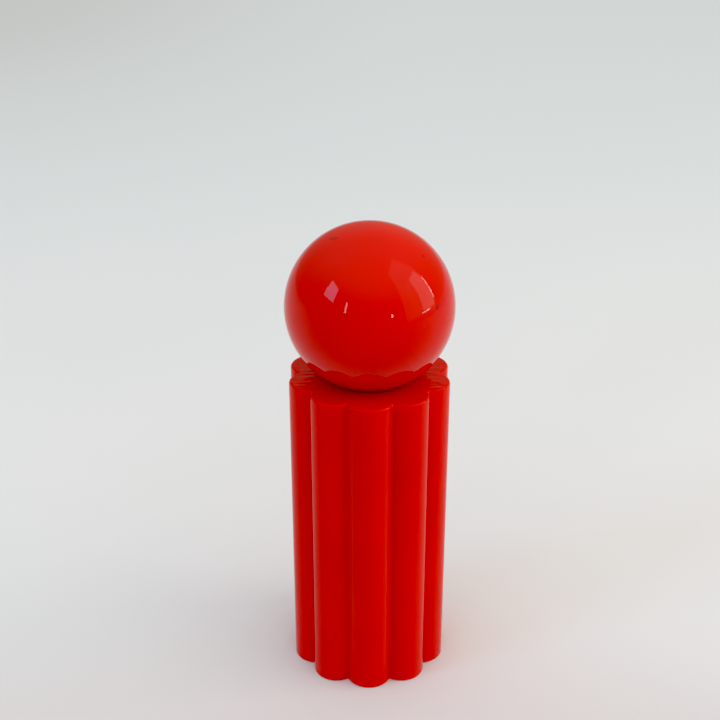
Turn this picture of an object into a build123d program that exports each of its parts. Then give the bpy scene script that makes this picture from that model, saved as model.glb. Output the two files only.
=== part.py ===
"""Ball-headed table mill for peppercorns or coarse salt.

A fluted, lacquered wooden column stands on its base ring and holds the spice. A lacquered wooden
ball sits on its mouth, keyed to a square shaft that runs down to a ceramic grinder. Turning the ball
turns the grinding cone; pulling it straight up opens the mouth for filling. A knob in the foot
screws along the shaft's threaded end and sets how coarse the grind is.

Millimetres, +Z up, origin on the standing surface under the middle of the mill.
"""

import os
from math import atan, cos, degrees, pi, radians, sin

from build123d import *

# ---------------------------------------------------------------- driving dimensions
# Fluted wooden body
BODY_HEIGHT = 112.7
LOBE_COUNT = 10
CREST_RADIUS = 28.0  # axis to the crest of a lobe
LOBE_RADIUS = 8.1  # cross-section of one lobe
VALLEY_ROUND = 0.4  # hollow left where two lobes meet
TOP_EDGE_ROUND = 1.0
BASE_EDGE_ROUND = 0.6
CHAMBER_RADIUS = 16.25  # bored from below, also holds the grinder
MOUTH_RADIUS = 13.0
MOUTH_DEPTH = 12.0
MOUTH_SHOULDER = 3.0  # height of the cone between chamber and mouth
FOOT_RADIUS = 21.8  # recess in the base that hides the adjuster
FOOT_DEPTH = 7.5
BORE_EDGE = 0.7  # small chamfers at the bores' mouths

# Ball head
BALL_RADIUS = 28.4
BALL_SEAT_GAP = 0.4  # shadow gap between the ball's flat and the body
BALL_CENTRE_RISE = 24.3  # ball centre above the body's top face
BALL_FLAT_ROUND = 0.5
TENON_RADIUS = 12.7
TENON_LENGTH = 11.4
TENON_CHAMFER = 0.8
SOCKET_BORE_RADIUS = 8.0
SOCKET_BORE_DEPTH = 26.0
DRILL_POINT = 3.0  # cone left by the drill at the bore's end

# Drive socket in the tenon
SOCKET_FLANGE = 1.6
SOCKET_FLANGE_RADIUS = 12.1
SOCKET_FLANGE_CHAMFER = 0.4
SOCKET_BARREL_RADIUS = 7.6
SOCKET_TOP_PLAY = 1.0
SOCKET_LEAD = 1.0  # taper that guides the shaft into the square socket
RIB_COUNT = 8
RIB_ROUND = 0.66
RIB_REACH_RADIUS = 7.96  # ribs press the wood to here
TIP_REST = 0.05  # play between the socket's blind end and the shaft's tip

# Hairpin clip that grips the shaft
CLIP_WIRE = 0.45
CLIP_Z = 112.0
CLIP_BEND_Y = 3.2
CLIP_END_Y = -6.2
CLIP_SLOT_FIT = 0.3
CLIP_SLOT_BACK_Y = 10.8

# Drive shaft, square bar with a threaded lower end
SHAFT_WIDTH = 6.0
SHAFT_CORNER = 0.5
SHAFT_TIP_CHAMFER = 0.8
SHAFT_TIP_Z = 122.0
SHAFT_SQUARE_Z = 9.2
SHAFT_END_Z = 1.4
THREAD_RADIUS = 2.5  # M5
THREAD_ROOT = 2.1
THREAD_PITCH = 0.8
SLIDE_FIT = 0.1  # clearance all round the square shaft
RUNNING_FIT = 0.05  # clearance in the threads and round the screws
STACK_PLAY = 0.02  # gap between parts stacked along the shaft

# Grinder levels, from the foot upwards
KNOB_BOTTOM_Z = 3.9
KNOB_RIM_TOP_Z = 8.4
KNOB_TOP_Z = 8.9
FLANGE_Z = 5.5
FLANGE_THICK = 2.0
HUB_FLANGE_Z = 9.5
LEDGE_TOP_Z = 10.0
RING_HEIGHT = 11.0
CONE_BOTTOM_Z = 10.5
SPRING_FLOOR_Z = 15.0
FINE_ZONE_TOP_Z = 15.5
CONE_TOP_Z = 20.0
GUIDE_HUB_Z = 24.1
GUIDE_HUB_HEIGHT = 5.0
HOUSING_TOP_Z = 27.5

# Grinder housing and guide
FLANGE_RADIUS = 21.4
HOUSING_RADIUS = 16.0
HOUSING_INSIDE = 14.6
HOUSING_CHAMFER = 0.6
HOUSING_RIB_COUNT = 12
LEDGE_RADIUS = 12.9  # outlet bore
OUTLET_FLARE = 1.2
GUIDE_RING_INSIDE = 13.2
GUIDE_RING_OUTSIDE = 14.5
GUIDE_HUB_RADIUS = 7.0
GUIDE_BORE_RADIUS = 5.06
ARM_COUNT = 4
ARM_WIDTH = 2.4
ARM_HEIGHT = 3.2
WINDOW_LOW = 22.4  # windows in the housing that the guide's lugs snap into
WINDOW_HIGH = 25.4
WINDOW_WIDTH = 6.0
LUG_PLAY = 0.4
KEY_WIDTH = 3.0  # slots in the ring's top edge that the guide's keys stand in
KEY_DEPTH = 1.2
KEY_HEIGHT = 1.6
KEY_PLAY = 0.1

# Ceramic burrs
RING_OUTSIDE = 14.4
RING_BOTTOM_RADIUS = 12.0  # tooth crests, lower edge
RING_THROAT_RADIUS = 10.75  # tooth crests where the fine zone ends
RING_MOUTH_RADIUS = 12.2
GRIND_GAP = 0.28  # radial gap between crests at the finest setting
CONE_SHOULDER_RADIUS = 10.3
CONE_TOP_RADIUS = 7.4
CONE_TOP_EDGE = 0.4
SPRING_POCKET_RADIUS = 5.5
TOOTH_COUNT = 30
TOOTH_DEPTH = 0.8
TOOTH_SKEW = 18.0
TOOTH_LENGTH = 9.0
BREAKER_COUNT = 6
BREAKER_DEPTH = 1.3
BREAKER_SKEW = 32.0
BREAKER_LENGTH = 11.0
CUTTER_BACK = 1.5  # how far a tooth cutter stands behind the surface it cuts
CUTTER_FLARE = 0.62  # half width of a tooth cutter for its height

# Cone hub, bush, washers, spring and clips
HUB_ACROSS_FLATS = 9.6
HUB_FLANGE_RADIUS = 8.6
HUB_FIT = 0.06
BUSH_RADIUS = 5.0
BUSH_FLANGE_RADIUS = 6.8
BUSH_FLANGE = 0.95
WASHER_BORE = 4.35
WASHER_THICK = 0.6
SPRING_WASHER_RADIUS = 6.6
THRUST_WASHER_RADIUS = 6.2
SPRING_WIRE = 0.4
SPRING_RADIUS = 4.85
SPRING_TURNS = 4.5
GRIP_FIT = 0.03  # a C clip's play in its groove
CLIP_OPENING = 64.0  # degrees
UPPER_GROOVE_RADIUS = 3.5
UPPER_CLIP_RADIUS = 5.4
UPPER_CLIP_THICK = 0.8
LOWER_GROOVE_RADIUS = 1.9
LOWER_CLIP_RADIUS = 3.5
LOWER_CLIP_THICK = 0.7
LOWER_CLIP_Z = 1.8

# Grind adjuster
KNOB_RADIUS = 10.5
KNOB_ROUND = 0.8
KNOB_BOSS_RADIUS = 5.9
KNOB_COUNTERBORE = 4.4
GRIP_COUNT = 14
GRIP_ROUND = 1.7
GRIP_CIRCLE = 11.4
LINE_OUTSIDE = 8.2  # ring engraved in the knob's face
LINE_INSIDE = 7.6
MARK_DEPTH = 0.3
DOT_COUNT = 6
DOT_CIRCLE = 6.1
DOT_SMALLEST = 0.22
DOT_STEP = 0.09
DOT_START = 150.0  # degrees
DOT_SPACING = 24.0
INSERT_ACROSS_FLATS = 8.0
INSERT_Z = 4.9
INSERT_LEAD = 1.4
INSERT_LEAD_HEIGHT = 0.4

# Fasteners: (head radius, thread radius, core radius, length, pitch)
HOUSING_SCREW = (2.3, 1.3, 0.95, 10.0, 1.0)
SOCKET_SCREW = (1.7, 1.0, 0.7, 8.0, 0.8)
HOUSING_SCREW_CIRCLE = 18.7
SOCKET_SCREW_CIRCLE = 9.85
HOUSING_SCREW_COUNT = 3
SOCKET_SCREW_COUNT = 2
SCREW_RIM = 0.3  # straight edge of a countersunk head

# Heights and widths that follow from these
BALL_CENTRE_Z = BODY_HEIGHT + BALL_CENTRE_RISE
SEAT_Z = BODY_HEIGHT + BALL_SEAT_GAP
TENON_Z = SEAT_Z - TENON_LENGTH
SOCKET_LOW_Z = TENON_Z - SOCKET_FLANGE
SOCKET_TOP_Z = TENON_Z + SOCKET_BORE_DEPTH - SOCKET_TOP_PLAY
RING_TOP_Z = LEDGE_TOP_Z + RING_HEIGHT
GUIDE_HUB_TOP_Z = GUIDE_HUB_Z + GUIDE_HUB_HEIGHT
UPPER_CLIP_Z = GUIDE_HUB_TOP_Z + RUNNING_FIT + BUSH_FLANGE
SQUARE_HOLE = SHAFT_WIDTH + 2 * SLIDE_FIT
CLIP_LEG_X = SHAFT_WIDTH / 2 + RUNNING_FIT + CLIP_WIRE
FINE_SLOPE = (RING_BOTTOM_RADIUS - RING_THROAT_RADIUS) / (FINE_ZONE_TOP_Z - LEDGE_TOP_Z)
PAST = 1.0  # how far a cutter runs past the face it opens


# ---------------------------------------------------------------- shared shapes
def turned(*points):
    """Solid of revolution about Z from (radius, height) corners."""
    outline = Plane.XZ * Polyline(*points, close=True)
    return revolve(make_face(outline), Axis.Z)


def tube(outside, inside, low, high):
    """Plain ring between two heights."""
    return turned((inside, low), (outside, low), (outside, high), (inside, high))


def disc(radius, low, high):
    return Pos(0, 0, low) * extrude(Circle(radius), high - low)


def square_bar(width, low, high):
    return Pos(0, 0, low) * extrude(Rectangle(width, width), high - low)


def hexagon_bar(across_flats, low, high):
    corner = across_flats / 2 / cos(pi / 6)
    return Pos(0, 0, low) * extrude(RegularPolygon(corner, 6), high - low)


def around(shape, count, start=0.0):
    """The same shape repeated evenly about Z."""
    return [Rot(0, 0, start + i * 360 / count) * shape for i in range(count)]


def vee_bar(radius, height, slope, skew, depth, length):
    """V-shaped cutter whose edge runs along a cone at (radius, height), turned by skew.

    depth is measured outwards for a positive value and inwards for a negative one.
    """
    back = -CUTTER_BACK if depth > 0 else CUTTER_BACK
    half = (abs(depth) + CUTTER_BACK) * CUTTER_FLARE
    section = Polyline((depth, 0), (back, half), (back, -half), close=True)
    bar = Pos(0, 0, -length / 2) * extrude(make_face(section), length)
    return Pos(radius, 0, height) * Rot(0, -degrees(atan(slope)), 0) * Rot(skew, 0, 0) * bar


def thread_rings(core, crest, low, high, pitch):
    """Profile corners of V-shaped rings at the thread's pitch, as many as fit between two heights."""
    points = []
    while low + pitch < high:
        points += [(core, low + 0.1 * pitch), (crest, low + 0.5 * pitch), (core, low + 0.9 * pitch)]
        low += pitch
    return points


def screw(head, thread, core, length, pitch):
    """Countersunk self-tapping screw, head face at z 0 looking down, point upwards."""
    neck = SCREW_RIM + head - thread
    shoulder = length - 2 * core
    points = [(0, 0), (head, 0), (head, SCREW_RIM), (core, neck)]
    points += thread_rings(core, thread, neck, shoulder, pitch)
    body = turned(*points, (core, shoulder + 0.2 * core), (0, length))
    for slot in around(Pos(0, 0, head / 4) * Box(head * 1.25, head * 0.3, head / 2), 2):
        body -= slot
    return body


def screw_hole(head, thread, _core, length, _pitch):
    """Clearance for screw(), with its countersink open downwards."""
    neck = SCREW_RIM + RUNNING_FIT + head - thread
    return turned(
        (0, -PAST), (head + RUNNING_FIT, -PAST), (head + RUNNING_FIT, SCREW_RIM + RUNNING_FIT),
        (thread + RUNNING_FIT, neck), (thread + RUNNING_FIT, length + SCREW_RIM),
        (0, length + SCREW_RIM),
    )


def open_clip(inside, outside, low, thick):
    """Flat spring-steel C clip with its opening towards +X."""
    half = radians(CLIP_OPENING / 2)
    reach = 2 * outside
    gap = Polyline(
        (0, 0), (reach * cos(half), reach * sin(half)), (reach * cos(half), -reach * sin(half)),
        close=True,
    )
    wedge = Pos(0, 0, low - PAST) * extrude(make_face(gap), thick + 2 * PAST)
    return tube(outside, inside, low, low + thick) - wedge


# ---------------------------------------------------------------- wooden parts
def fluted_section():
    """Cross-section of the column: lobes whose circles overlap round a core."""
    centre = CREST_RADIUS - LOBE_RADIUS
    section = Sketch() + Circle(centre * 1.1)
    for index in range(LOBE_COUNT):
        angle = -90 + index * 360 / LOBE_COUNT  # one lobe faces the front, -Y
        section += Rot(0, 0, angle) * Pos(centre, 0) * Rot(0, 0, 180) * Circle(LOBE_RADIUS)
    return fillet(section.vertices(), VALLEY_ROUND)


def make_body():
    """Fluted column, bored from below for spice and grinder, with a narrower mouth on top."""
    column = extrude(fluted_section(), BODY_HEIGHT)
    top = column.faces().sort_by(Axis.Z)[-1]
    column = fillet(top.outer_wire().edges(), TOP_EDGE_ROUND)
    base = column.faces().sort_by(Axis.Z)[0]
    column = fillet(base.outer_wire().edges(), BASE_EDGE_ROUND)
    shoulder = BODY_HEIGHT - MOUTH_DEPTH
    column -= turned(
        (0, -PAST), (FOOT_RADIUS + BORE_EDGE + PAST, -PAST), (FOOT_RADIUS, BORE_EDGE),
        (FOOT_RADIUS, FOOT_DEPTH), (CHAMBER_RADIUS, FOOT_DEPTH),
        (CHAMBER_RADIUS, shoulder - MOUTH_SHOULDER), (MOUTH_RADIUS, shoulder),
        (MOUTH_RADIUS, BODY_HEIGHT - BORE_EDGE),
        (MOUTH_RADIUS + BORE_EDGE + PAST, BODY_HEIGHT + PAST), (0, BODY_HEIGHT + PAST),
    )
    for hole in housing_screw_places(screw_hole(*HOUSING_SCREW)):
        column -= hole
    return column


def make_ball_head():
    """Ball with a flat under it and a tenon that turns in the body's mouth."""
    ball = Pos(0, 0, BALL_CENTRE_Z) * Sphere(BALL_RADIUS)
    ball -= disc(2 * BALL_RADIUS, SEAT_Z - 2 * BALL_RADIUS, SEAT_Z)
    rim = ball.faces().sort_by(Axis.Z)[0].outer_wire().edges()
    ball = fillet(rim, BALL_FLAT_ROUND)
    ball += turned(
        (0, TENON_Z), (TENON_RADIUS - TENON_CHAMFER, TENON_Z), (TENON_RADIUS, TENON_Z + TENON_CHAMFER),
        (TENON_RADIUS, SEAT_Z + PAST), (0, SEAT_Z + PAST),
    )
    bore_end = TENON_Z + SOCKET_BORE_DEPTH
    ball -= turned(
        (0, TENON_Z - PAST), (SOCKET_BORE_RADIUS, TENON_Z - PAST), (SOCKET_BORE_RADIUS, bore_end),
        (0, bore_end + DRILL_POINT),
    )
    for hole in socket_screw_places(screw_hole(*SOCKET_SCREW)):
        ball -= hole
    return ball


# ---------------------------------------------------------------- fasteners
def housing_screw_places(shape):
    return around(Pos(HOUSING_SCREW_CIRCLE, 0, FLANGE_Z) * shape, HOUSING_SCREW_COUNT, 90)


def socket_screw_places(shape):
    return around(Pos(SOCKET_SCREW_CIRCLE, 0, SOCKET_LOW_Z) * shape, SOCKET_SCREW_COUNT)


def make_housing_screws():
    return Compound(children=housing_screw_places(screw(*HOUSING_SCREW)))


def make_socket_screws():
    return Compound(children=socket_screw_places(screw(*SOCKET_SCREW)))


# ---------------------------------------------------------------- drive in the head
def barrel_ribs():
    """Half-round ribs along the socket's barrel, cut off where they press the wood."""
    length = SOCKET_TOP_Z - TENON_Z - 2 * PAST
    middle = Pos(SOCKET_BARREL_RADIUS - RIB_ROUND / 2, 0, TENON_Z + length / 2)
    limit = disc(RIB_REACH_RADIUS, SOCKET_LOW_Z, SOCKET_TOP_Z)
    return [rib & limit for rib in around(middle * Cylinder(RIB_ROUND, length), RIB_COUNT, 22.5)]


def make_drive_socket():
    """Moulded insert pressed into the tenon, with a square socket for the shaft."""
    socket = disc(SOCKET_FLANGE_RADIUS, SOCKET_LOW_Z, TENON_Z)
    socket = chamfer(socket.edges().group_by(Axis.Z)[0], SOCKET_FLANGE_CHAMFER)
    socket += disc(SOCKET_BARREL_RADIUS, TENON_Z, SOCKET_TOP_Z)
    for rib in barrel_ribs():
        socket += rib
    socket -= square_bar(SQUARE_HOLE, SOCKET_LOW_Z - PAST, SHAFT_TIP_Z + TIP_REST)
    wide = SQUARE_HOLE + 2 * SOCKET_LEAD
    socket -= loft([
        Pos(0, 0, SOCKET_LOW_Z) * Rectangle(wide, wide),
        Pos(0, 0, SOCKET_LOW_Z + SOCKET_LEAD) * Rectangle(SQUARE_HOLE, SQUARE_HOLE),
    ])
    slot = 2 * CLIP_WIRE + CLIP_SLOT_FIT
    for side in (-1, 1):
        leg_slot = Box(slot, 2 * CLIP_SLOT_BACK_Y, slot)
        socket -= Pos(side * CLIP_LEG_X, 0, CLIP_Z) * leg_slot
    bend_slot = Box(2 * CLIP_LEG_X + slot, CLIP_SLOT_BACK_Y - CLIP_BEND_Y, slot)
    socket -= Pos(0, (CLIP_SLOT_BACK_Y + CLIP_BEND_Y) / 2, CLIP_Z) * bend_slot
    for hole in socket_screw_places(screw_hole(*SOCKET_SCREW)):
        socket -= hole
    return socket


def make_socket_clip():
    """Hairpin of spring wire whose legs pinch two flats of the shaft."""
    left, right = -CLIP_LEG_X, CLIP_LEG_X
    path = (
        Line((left, CLIP_END_Y), (left, CLIP_BEND_Y))
        + ThreePointArc((left, CLIP_BEND_Y), (0, CLIP_BEND_Y + right), (right, CLIP_BEND_Y))
        + Line((right, CLIP_BEND_Y), (right, CLIP_END_Y))
    )
    start = Plane(origin=(left, CLIP_END_Y, 0), z_dir=(0, 1, 0))
    return Pos(0, 0, CLIP_Z) * sweep(start * Circle(CLIP_WIRE), path=path)


# ---------------------------------------------------------------- shaft and what turns with it
def make_shaft():
    """Square bar, chamfered at its tip, turned down and threaded below."""
    section = chamfer(Rectangle(SHAFT_WIDTH, SHAFT_WIDTH).vertices(), SHAFT_CORNER)
    bar = Pos(0, 0, SHAFT_SQUARE_Z) * extrude(section, SHAFT_TIP_Z - SHAFT_SQUARE_Z)
    bar = chamfer(bar.faces().sort_by(Axis.Z)[-1].edges(), SHAFT_TIP_CHAMFER)
    bar -= tube(SHAFT_WIDTH, UPPER_GROOVE_RADIUS, UPPER_CLIP_Z, UPPER_CLIP_Z + UPPER_CLIP_THICK)
    groove_top = LOWER_CLIP_Z + LOWER_CLIP_THICK
    thread_end = SHAFT_SQUARE_Z - THREAD_PITCH / 2
    overlap = SHAFT_SQUARE_Z + SHAFT_CORNER
    return bar + turned(
        (0, SHAFT_END_Z), (LOWER_GROOVE_RADIUS, SHAFT_END_Z), (LOWER_GROOVE_RADIUS, groove_top),
        *thread_rings(THREAD_ROOT, THREAD_RADIUS, groove_top, thread_end, THREAD_PITCH),
        (THREAD_ROOT, overlap), (0, overlap),
    )


def make_shaft_clip():
    return open_clip(UPPER_GROOVE_RADIUS + GRIP_FIT, UPPER_CLIP_RADIUS, UPPER_CLIP_Z, UPPER_CLIP_THICK)


def make_shaft_end_clip():
    return open_clip(LOWER_GROOVE_RADIUS + GRIP_FIT, LOWER_CLIP_RADIUS, LOWER_CLIP_Z, LOWER_CLIP_THICK)


def make_guide_bush():
    """Low-friction sleeve on the square shaft that runs in the guide's round hub."""
    seat = GUIDE_HUB_TOP_Z + RUNNING_FIT
    bush = disc(BUSH_RADIUS, GUIDE_HUB_Z, seat) + disc(BUSH_FLANGE_RADIUS, seat, UPPER_CLIP_Z)
    return bush - square_bar(SQUARE_HOLE, GUIDE_HUB_Z - PAST, UPPER_CLIP_Z + PAST)


def make_spring_washer():
    low = GUIDE_HUB_Z - WASHER_THICK
    return tube(SPRING_WASHER_RADIUS, WASHER_BORE, low, GUIDE_HUB_Z - STACK_PLAY)


def make_cone_spring():
    """Coil spring that keeps the cone down on the adjuster."""
    low = SPRING_FLOOR_Z + SPRING_WIRE + STACK_PLAY
    height = GUIDE_HUB_Z - WASHER_THICK - SPRING_WIRE - STACK_PLAY - low
    path = Helix(pitch=height / SPRING_TURNS, height=height, radius=SPRING_RADIUS)
    wire = Plane(path @ 0, z_dir=path % 0) * Circle(SPRING_WIRE)
    return Pos(0, 0, low) * sweep(wire, path=path, is_frenet=True)


# ---------------------------------------------------------------- ceramic burrs
def ring_radius(height):
    """Crest radius of the grinding ring within its fine zone."""
    return RING_BOTTOM_RADIUS - FINE_SLOPE * (height - LEDGE_TOP_Z)


def key_blocks(width, inside, low, high):
    """Blocks between the guide and the ring that stop the ring turning."""
    block = Box(RING_OUTSIDE - inside, width, high - low)
    return around(Pos((inside + RING_OUTSIDE) / 2, 0, (low + high) / 2) * block, ARM_COUNT, 45)


def make_grinding_ring():
    """Fixed ceramic burr with slanting teeth inside."""
    ring = turned(
        (RING_BOTTOM_RADIUS, LEDGE_TOP_Z), (RING_OUTSIDE, LEDGE_TOP_Z), (RING_OUTSIDE, RING_TOP_Z),
        (RING_MOUTH_RADIUS, RING_TOP_Z), (RING_THROAT_RADIUS, FINE_ZONE_TOP_Z),
    )
    middle = (LEDGE_TOP_Z + FINE_ZONE_TOP_Z) / 2
    tooth = vee_bar(ring_radius(middle), middle, FINE_SLOPE, TOOTH_SKEW, TOOTH_DEPTH, TOOTH_LENGTH)
    for groove in around(tooth, TOOTH_COUNT):
        ring -= groove
    low = RING_TOP_Z - KEY_HEIGHT
    for slot in key_blocks(KEY_WIDTH, RING_OUTSIDE - KEY_DEPTH, low, RING_TOP_Z + PAST):
        ring -= slot
    return ring


def make_grinding_cone():
    """Turning ceramic burr: fine teeth below, deep breaker flutes above, spring pocket inside."""
    cone = turned(
        (0, CONE_BOTTOM_Z), (ring_radius(CONE_BOTTOM_Z) - GRIND_GAP, CONE_BOTTOM_Z),
        (RING_THROAT_RADIUS - GRIND_GAP, FINE_ZONE_TOP_Z),
        (CONE_SHOULDER_RADIUS, FINE_ZONE_TOP_Z + CONE_TOP_EDGE / 2),
        (CONE_TOP_RADIUS, CONE_TOP_Z - CONE_TOP_EDGE),
        (CONE_TOP_RADIUS - CONE_TOP_EDGE, CONE_TOP_Z), (0, CONE_TOP_Z),
    )
    cone -= disc(SPRING_POCKET_RADIUS, SPRING_FLOOR_Z, CONE_TOP_Z + PAST)
    cone -= hexagon_bar(HUB_ACROSS_FLATS + HUB_FIT, CONE_BOTTOM_Z - PAST, SPRING_FLOOR_Z + PAST)
    middle = (CONE_BOTTOM_Z + FINE_ZONE_TOP_Z) / 2
    radius = ring_radius(middle) - GRIND_GAP
    tooth = vee_bar(radius, middle, FINE_SLOPE, -TOOTH_SKEW, -TOOTH_DEPTH, TOOTH_LENGTH)
    for groove in around(tooth, TOOTH_COUNT):
        cone -= groove
    radius = (CONE_SHOULDER_RADIUS + CONE_TOP_RADIUS) / 2
    middle = (FINE_ZONE_TOP_Z + CONE_TOP_Z) / 2
    slope = (CONE_SHOULDER_RADIUS - CONE_TOP_RADIUS) / (CONE_TOP_Z - FINE_ZONE_TOP_Z)
    breaker = vee_bar(radius, middle, slope, -BREAKER_SKEW, -BREAKER_DEPTH, BREAKER_LENGTH)
    for groove in around(breaker, BREAKER_COUNT):
        cone -= groove
    return cone


def make_cone_hub():
    """Moulded core that carries the cone and slides on the square shaft."""
    hub = disc(HUB_FLANGE_RADIUS, HUB_FLANGE_Z, CONE_BOTTOM_Z)
    hub += hexagon_bar(HUB_ACROSS_FLATS, CONE_BOTTOM_Z, SPRING_FLOOR_Z)
    return hub - square_bar(SQUARE_HOLE, HUB_FLANGE_Z - PAST, SPRING_FLOOR_Z + PAST)


def make_thrust_washer():
    return tube(THRUST_WASHER_RADIUS, WASHER_BORE, KNOB_TOP_Z + STACK_PLAY, HUB_FLANGE_Z - STACK_PLAY)


# ---------------------------------------------------------------- housing and guide
def make_grinder_housing():
    """Moulded cup screwed into the foot; its inner ledge carries the grinding ring."""
    top = FLANGE_Z + FLANGE_THICK - STACK_PLAY
    housing = turned(
        (LEDGE_RADIUS + OUTLET_FLARE, FLANGE_Z), (FLANGE_RADIUS - BORE_EDGE, FLANGE_Z),
        (FLANGE_RADIUS, FLANGE_Z + BORE_EDGE), (FLANGE_RADIUS, top), (HOUSING_RADIUS, top),
        (HOUSING_RADIUS, HOUSING_TOP_Z - HOUSING_CHAMFER),
        (HOUSING_RADIUS - HOUSING_CHAMFER, HOUSING_TOP_Z), (HOUSING_INSIDE, HOUSING_TOP_Z),
        (HOUSING_INSIDE, LEDGE_TOP_Z), (LEDGE_RADIUS, LEDGE_TOP_Z),
        (LEDGE_RADIUS, FLANGE_Z + OUTLET_FLARE),
    )
    rib_end = HOUSING_TOP_Z - 5 * HOUSING_CHAMFER
    rib = Pos(HOUSING_RADIUS - 0.1, 0, (top + rib_end) / 2) * Box(0.64, 1.0, rib_end - top)
    for each in around(rib, HOUSING_RIB_COUNT, 15):
        housing += each
    window = Box(4, WINDOW_WIDTH, WINDOW_HIGH - WINDOW_LOW)
    for each in around(Pos(HOUSING_INSIDE + 1, 0, (WINDOW_LOW + WINDOW_HIGH) / 2) * window, ARM_COUNT):
        housing -= each
    for hole in housing_screw_places(screw_hole(*HOUSING_SCREW)):
        housing -= hole
    return housing


def make_shaft_guide():
    """Four-armed guide that snaps into the housing over the ring and centres the shaft."""
    guide = tube(GUIDE_RING_OUTSIDE, GUIDE_RING_INSIDE, RING_TOP_Z, HOUSING_TOP_Z - KEY_PLAY)
    length = GUIDE_RING_INSIDE - GUIDE_HUB_RADIUS + KEY_DEPTH
    arm = Box(length, ARM_WIDTH, ARM_HEIGHT)
    middle = Pos((GUIDE_RING_INSIDE + GUIDE_HUB_RADIUS) / 2, 0, GUIDE_HUB_Z + ARM_HEIGHT / 2)
    for each in around(middle * arm, ARM_COUNT, 45):
        guide += each
    guide += disc(GUIDE_HUB_RADIUS, GUIDE_HUB_Z, GUIDE_HUB_TOP_Z)
    guide -= disc(GUIDE_BORE_RADIUS, GUIDE_HUB_Z - PAST, GUIDE_HUB_TOP_Z + PAST)
    lug = Box(1.4, WINDOW_WIDTH - LUG_PLAY, WINDOW_HIGH - WINDOW_LOW - LUG_PLAY)
    middle = Pos(GUIDE_RING_OUTSIDE + 0.3, 0, (WINDOW_LOW + WINDOW_HIGH) / 2)
    for each in around(middle * lug, ARM_COUNT):
        guide += each
    inside = RING_OUTSIDE - KEY_DEPTH + KEY_PLAY
    low = RING_TOP_Z - KEY_HEIGHT + KEY_PLAY
    for block in key_blocks(KEY_WIDTH - 2 * KEY_PLAY, inside, low, RING_TOP_Z + KEY_DEPTH / 2):
        guide += block
    return guide


# ---------------------------------------------------------------- grind adjuster
def make_adjuster_knob():
    """Thumb knob in the foot, with finger scallops and a row of dots from fine to coarse."""
    knob = disc(KNOB_RADIUS, KNOB_BOTTOM_Z, KNOB_RIM_TOP_Z)
    knob = fillet(knob.edges().filter_by(GeomType.CIRCLE), KNOB_ROUND)
    for scallop in around(Pos(GRIP_CIRCLE, 0, 0) * Cylinder(GRIP_ROUND, 40), GRIP_COUNT):
        knob -= scallop
    knob += disc(KNOB_BOSS_RADIUS, KNOB_RIM_TOP_Z - MARK_DEPTH, KNOB_TOP_Z)
    knob -= disc(KNOB_COUNTERBORE, KNOB_BOTTOM_Z - PAST, INSERT_Z)
    knob -= hexagon_bar(INSERT_ACROSS_FLATS, INSERT_Z - MARK_DEPTH, KNOB_TOP_Z + PAST)
    knob -= tube(LINE_OUTSIDE, LINE_INSIDE, KNOB_BOTTOM_Z - PAST, KNOB_BOTTOM_Z + MARK_DEPTH)
    for index in range(DOT_COUNT):
        dot = Pos(DOT_CIRCLE, 0, KNOB_BOTTOM_Z) * Cylinder(DOT_SMALLEST + DOT_STEP * index, 2 * MARK_DEPTH)
        knob -= Rot(0, 0, DOT_START + DOT_SPACING * index) * dot
    return knob


def make_knob_insert():
    """Brass nut moulded into the knob."""
    bore = THREAD_RADIUS + RUNNING_FIT
    lead = INSERT_Z + INSERT_LEAD_HEIGHT
    return hexagon_bar(INSERT_ACROSS_FLATS, INSERT_Z, KNOB_TOP_Z) - turned(
        (0, INSERT_Z - PAST), (bore + INSERT_LEAD, INSERT_Z - PAST), (bore, lead),
        (bore, KNOB_TOP_Z + PAST), (0, KNOB_TOP_Z + PAST),
    )


# ---------------------------------------------------------------- write every sub-part
PARTS = {
    "body": make_body,
    "ball_head": make_ball_head,
    "drive_socket": make_drive_socket,
    "socket_clip": make_socket_clip,
    "socket_screws": make_socket_screws,
    "shaft": make_shaft,
    "shaft_clip": make_shaft_clip,
    "shaft_end_clip": make_shaft_end_clip,
    "guide_bush": make_guide_bush,
    "shaft_guide": make_shaft_guide,
    "spring_washer": make_spring_washer,
    "cone_spring": make_cone_spring,
    "grinding_cone": make_grinding_cone,
    "cone_hub": make_cone_hub,
    "thrust_washer": make_thrust_washer,
    "grinding_ring": make_grinding_ring,
    "grinder_housing": make_grinder_housing,
    "housing_screws": make_housing_screws,
    "adjuster_knob": make_adjuster_knob,
    "knob_insert": make_knob_insert,
}

if __name__ == "__main__":
    os.makedirs("parts", exist_ok=True)
    for name, make in PARTS.items():
        export_step(make(), f"parts/{name}.step")
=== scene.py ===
"""A fluted, red-lacquered pepper mill with a ball head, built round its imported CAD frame.

Metres, +Z up, the mill's axis on the Z axis and its standing surface at Z 0. The front, -Y, passes
through the crest of a lobe.
"""

from math import cos, pi, radians, sin, sqrt, tan

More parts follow.
